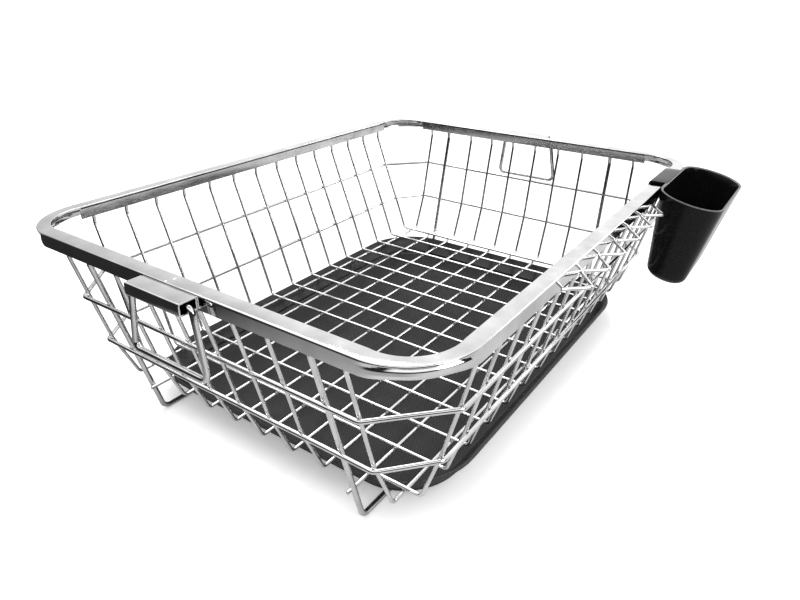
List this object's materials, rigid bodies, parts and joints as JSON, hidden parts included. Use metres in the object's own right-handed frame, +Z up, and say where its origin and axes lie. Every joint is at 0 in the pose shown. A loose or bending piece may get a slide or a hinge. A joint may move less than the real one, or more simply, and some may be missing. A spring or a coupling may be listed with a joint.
{
  "type": "dish drying rack",
  "caption": "Polished steel wire dish rack with a folded sheet rim, swinging bail handles, a sliding black drip tray and a hanging cutlery cup.",
  "frame": {"origin": "middle of the basket, on the surface that the runners stand on", "axes": "+X along the rack's length, +Y towards the long side away from the cup, +Z up"},
  "size_m": [0.443, 0.3756, 0.1406],
  "materials": {
    "wire_steel": "polished",
    "rim_steel": "polished",
    "tray_plastic": "matte, woven texture",
    "cup_plastic": "gloss"
  },
  "bodies": {
    "basket": {"rim_band": "rim_steel", "cross_wire_01": "wire_steel", "cross_wire_02": "wire_steel", "cross_wire_03": "wire_steel", "cross_wire_04": "wire_steel", "cross_wire_05": "wire_steel", "cross_wire_06": "wire_steel", "cross_wire_07": "wire_steel", "cross_wire_08": "wire_steel", "cross_wire_09": "wire_steel", "cross_wire_10": "wire_steel", "cross_wire_11": "wire_steel", "cross_wire_12": "wire_steel", "cross_wire_13": "wire_steel", "cross_wire_14": "wire_steel", "long_wire_01": "wire_steel", "long_wire_03": "wire_steel", "long_wire_04": "wire_steel", "long_wire_05": "wire_steel", "long_wire_06": "wire_steel", "long_wire_07": "wire_steel", "long_wire_08": "wire_steel", "long_wire_10": "wire_steel", "runner_wire_02": "wire_steel", "runner_wire_09": "wire_steel", "floor_wire_02": "wire_steel", "floor_wire_09": "wire_steel", "upper_ring": "wire_steel", "lower_ring": "wire_steel", "hanging_rail": "wire_steel", "left_handle_bracket": "rim_steel", "right_handle_bracket": "rim_steel"},
    "left_bail": {"left_bail_handle": "wire_steel"},
    "right_bail": {"right_bail_handle": "wire_steel"},
    "tray": {"drip_tray": "tray_plastic"},
    "cup": {"cutlery_cup": "cup_plastic"}
  },
  "joints": [
    {"name": "left_bail_hinge", "type": "hinge", "parent": "basket", "child": "left_bail", "pos_m": [-0.216, 0.0018, 0.134], "axis": [0, 1, 0], "range_deg": [-15, 175]},
    {"name": "right_bail_hinge", "type": "hinge", "parent": "basket", "child": "right_bail", "pos_m": [0.216, 0.0018, 0.134], "axis": [0, -1, 0], "range_deg": [-15, 175]},
    {"name": "tray_slide", "type": "slide", "parent": "basket", "child": "tray", "axis": [0, -1, 0], "range_m": [-0.215, 0.215]},
    {"name": "cup_lift_off", "type": "slide", "parent": "basket", "child": "cup", "axis": [0, -0.0872, 0.9962], "range_m": [0, 0.1]}
  ]
}
